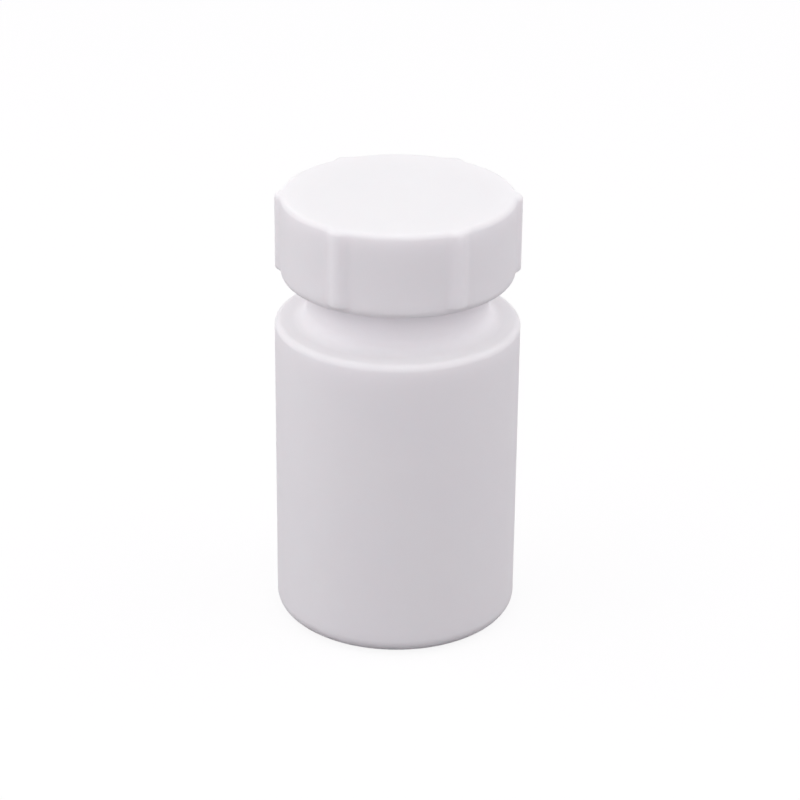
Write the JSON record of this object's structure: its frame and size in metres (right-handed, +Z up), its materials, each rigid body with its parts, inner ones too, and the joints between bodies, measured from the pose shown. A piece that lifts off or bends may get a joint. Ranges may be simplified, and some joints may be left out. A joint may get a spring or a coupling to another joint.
{
  "type": "reagent bottle",
  "caption": "Opaque white thick-walled wide-mouth reagent bottle with a straight round body, a short bare neck and a ribbed screw cap that turns off over a loose sealing disc.",
  "frame": {"origin": "centre of the base, on the surface that the bottle stands on", "axes": "+Z up along the axis of the bottle; the picture looks along +Y from a little above"},
  "size_m": [0.054, 0.054, 0.099],
  "materials": {
    "bottle_plastic": "matt white fluoropolymer, slightly translucent",
    "cap_plastic": "matt white fluoropolymer, slightly translucent",
    "disc_plastic": "skived white fluoropolymer sheet"
  },
  "bodies": {
    "bottle": {"bottle": "bottle_plastic"},
    "disc": {"sealing_disc": "disc_plastic"},
    "cap": {"screw_cap": "cap_plastic"}
  },
  "joints": [
    {"name": "cap_rise", "type": "slide", "parent": "bottle", "child": "disc", "axis": [0, 0, 1], "range_m": [0, 0.015]},
    {"name": "cap_turn", "type": "hinge", "parent": "disc", "child": "cap", "pos_m": [0, 0, 0.0955], "axis": [0, 0, 1], "range_deg": [0, 1080]}
  ],
  "couplings": [
    {"joint": "cap_rise", "follows": "cap_turn", "m_per_rad": 0.00079577}
  ]
}
